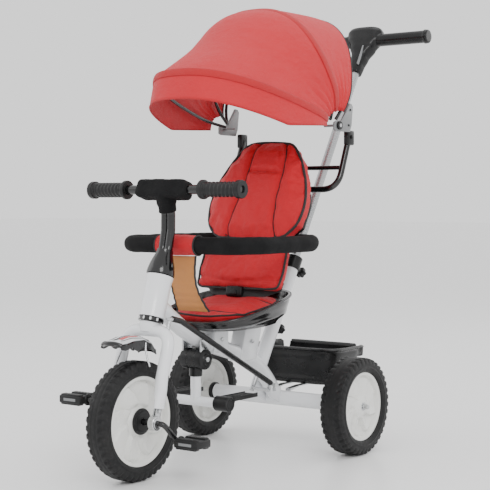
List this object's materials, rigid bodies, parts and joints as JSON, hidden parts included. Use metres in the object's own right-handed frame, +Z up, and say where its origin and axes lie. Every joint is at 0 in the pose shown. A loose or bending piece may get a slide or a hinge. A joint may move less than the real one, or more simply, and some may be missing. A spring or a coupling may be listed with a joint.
{
  "type": "children's tricycle",
  "caption": "Children's push tricycle with a steered front wheel, telescopic parent handle, padded seat, safety ring, folding canopy, footrest and rear basket.",
  "frame": {"origin": "middle of the footprint on the ground, at the lowest point of the tyres", "axes": "+Z up, -Y to the front (front wheel), +X to the rider's left"},
  "size_m": [0.536, 1.1339, 1.0817],
  "materials": {
    "white_paint": "gloss white powder paint",
    "black_plastic": "satin moulded black",
    "gloss_black": "polished black",
    "black_foam": "matt closed-cell foam",
    "tyre_rubber": "moulded black, ribbed shoulders",
    "white_plastic": "glossy moulded white",
    "steel": "zinc-plated",
    "black_metal": "gloss black paint on steel",
    "red_fabric": "woven polyester, red",
    "tan_fabric": "woven polyester, tan"
  },
  "bodies": {
    "frame": {"axle_collar_left": "black_plastic", "axle_collar_right": "black_plastic", "axle_tube": "white_paint", "back_board": "black_plastic", "back_cushion": "red_fabric", "basket": "black_plastic", "basket_bracket": "steel", "canopy_bow_rear": "black_metal", "canopy_hinge_left": "black_metal", "canopy_hinge_right": "black_metal", "canopy_rear_cover": "red_fabric", "canopy_stay": "black_metal", "crotch_panel": "tan_fabric", "footrest_bracket": "steel", "head_bush_lower": "steel", "head_bush_upper": "steel", "head_tube": "white_paint", "headset_ring": "gloss_black", "lumbar_cushion": "red_fabric", "main_tube": "white_paint", "rear_axle": "steel", "rear_post": "white_paint", "ring_wrap": "red_fabric", "safety_ring": "black_foam", "seat_box": "white_paint", "seat_bracket": "white_paint", "seat_cushion": "red_fabric", "seat_pan": "gloss_black"},
    "steering": {"bar_pad": "black_foam", "fender": "black_plastic", "fork": "white_paint", "fork_end_left": "steel", "fork_end_right": "steel", "grip_left": "black_plastic", "grip_right": "black_plastic", "handlebar": "black_metal", "steering_cone": "gloss_black"},
    "front_wheel": {"front_rim": "white_plastic", "front_tyre": "tyre_rubber", "hub_cover_left": "black_plastic", "hub_cover_right": "black_plastic"},
    "crank": {"crank": "black_metal"},
    "pedal_left": {"pedal_left": "black_plastic"},
    "pedal_right": {"pedal_right": "black_plastic"},
    "rear_wheel_left": {"rear_rim_left": "white_plastic", "rear_tyre_left": "tyre_rubber"},
    "rear_wheel_right": {"rear_rim_right": "white_plastic", "rear_tyre_right": "tyre_rubber"},
    "steering_rod": {"steering_rod": "black_plastic"},
    "push_shaft": {"push_shaft": "steel"},
    "push_handle": {"push_tube": "steel", "push_handle": "black_plastic"},
    "handle_button": {"handle_button": "steel"},
    "height_knob": {"height_knob": "black_plastic"},
    "canopy_mid": {"canopy_bow_mid": "black_metal"},
    "canopy_front": {"canopy_bow_front": "black_metal", "canopy_front_cover": "red_fabric"},
    "footrest": {"footrest": "black_plastic"},
    "foot_plate_left": {"foot_plate_left": "black_plastic"},
    "foot_plate_right": {"foot_plate_right": "black_plastic"}
  },
  "joints": [
    {"name": "steer", "type": "hinge", "parent": "frame", "child": "steering", "pos_m": [0, -0.38, 0.343], "axis": [0, 0.309, 0.9511], "range_deg": [-35, 35]},
    {"name": "front_wheel_spin", "type": "hinge", "parent": "steering", "child": "front_wheel", "pos_m": [0, -0.437, 0.13], "axis": [1, 0, 0], "continuous": true},
    {"name": "crank_spin", "type": "hinge", "parent": "steering", "child": "crank", "pos_m": [0, -0.437, 0.13], "axis": [1, 0, 0], "continuous": true},
    {"name": "pedal_left_spin", "type": "hinge", "parent": "crank", "child": "pedal_left", "pos_m": [0.1245, -0.3925, 0.0875], "axis": [1, 0, 0], "continuous": true},
    {"name": "pedal_right_spin", "type": "hinge", "parent": "crank", "child": "pedal_right", "pos_m": [-0.1245, -0.4815, 0.1725], "axis": [1, 0, 0], "continuous": true},
    {"name": "rear_left_spin", "type": "hinge", "parent": "frame", "child": "rear_wheel_left", "pos_m": [0.23, 0.0995, 0.1156], "axis": [1, 0, 0], "continuous": true},
    {"name": "rear_right_spin", "type": "hinge", "parent": "frame", "child": "rear_wheel_right", "pos_m": [-0.23, 0.0995, 0.1156], "axis": [1, 0, 0], "continuous": true},
    {"name": "rod_swing", "type": "hinge", "parent": "steering", "child": "steering_rod", "pos_m": [0.052, -0.3783, 0.34823], "axis": [0, 0.309, 0.9511], "range_deg": [-35, 35]},
    {"name": "handle_turn", "type": "hinge", "parent": "frame", "child": "push_shaft", "pos_m": [0, 0.0295, 0.2], "axis": [0, 0.5113, 0.8594], "range_deg": [-35, 35]},
    {"name": "handle_height", "type": "slide", "parent": "push_shaft", "child": "push_handle", "axis": [0, 0.5113, 0.8594], "range_m": [-0.12, 0]},
    {"name": "handle_button_press", "type": "slide", "parent": "push_handle", "child": "handle_button", "axis": [0, 0.5113, 0.8594], "range_m": [-0.002, 0], "stiffness_N_per_m": 400},
    {"name": "knob_turn", "type": "hinge", "parent": "frame", "child": "height_knob", "pos_m": [0, 0.1742, 0.44321], "axis": [0, 0.8594, -0.5113], "continuous": true},
    {"name": "canopy_mid_fold", "type": "hinge", "parent": "frame", "child": "canopy_mid", "pos_m": [0, 0.111, 0.785], "axis": [-1, 0, 0], "range_deg": [0, 29], "deforming": ["canopy_rear_cover"]},
    {"name": "canopy_front_fold", "type": "hinge", "parent": "canopy_mid", "child": "canopy_front", "pos_m": [0, 0.111, 0.785], "axis": [-1, 0, 0], "range_deg": [0, 42], "deforming": ["canopy_front_cover"]},
    {"name": "footrest_fold", "type": "hinge", "parent": "frame", "child": "footrest", "pos_m": [0, -0.222, 0.2435], "axis": [1, 0, 0], "range_deg": [0, 55]},
    {"name": "foot_plate_left_fold", "type": "hinge", "parent": "footrest", "child": "foot_plate_left", "pos_m": [0.0795, -0.222, 0.1465], "axis": [1, 0, 0], "range_deg": [0, 60]},
    {"name": "foot_plate_right_fold", "type": "hinge", "parent": "footrest", "child": "foot_plate_right", "pos_m": [-0.0795, -0.222, 0.1465], "axis": [1, 0, 0], "range_deg": [0, 60]}
  ],
  "couplings": [
    {"joint": "crank_spin", "follows": "front_wheel_spin", "ratio": 1},
    {"joint": "handle_turn", "follows": "steer", "ratio": 1},
    {"joint": "rod_swing", "follows": "steer", "ratio": -1},
    {"joint": "canopy_front_fold", "follows": "canopy_mid_fold", "ratio": 1.448}
  ]
}
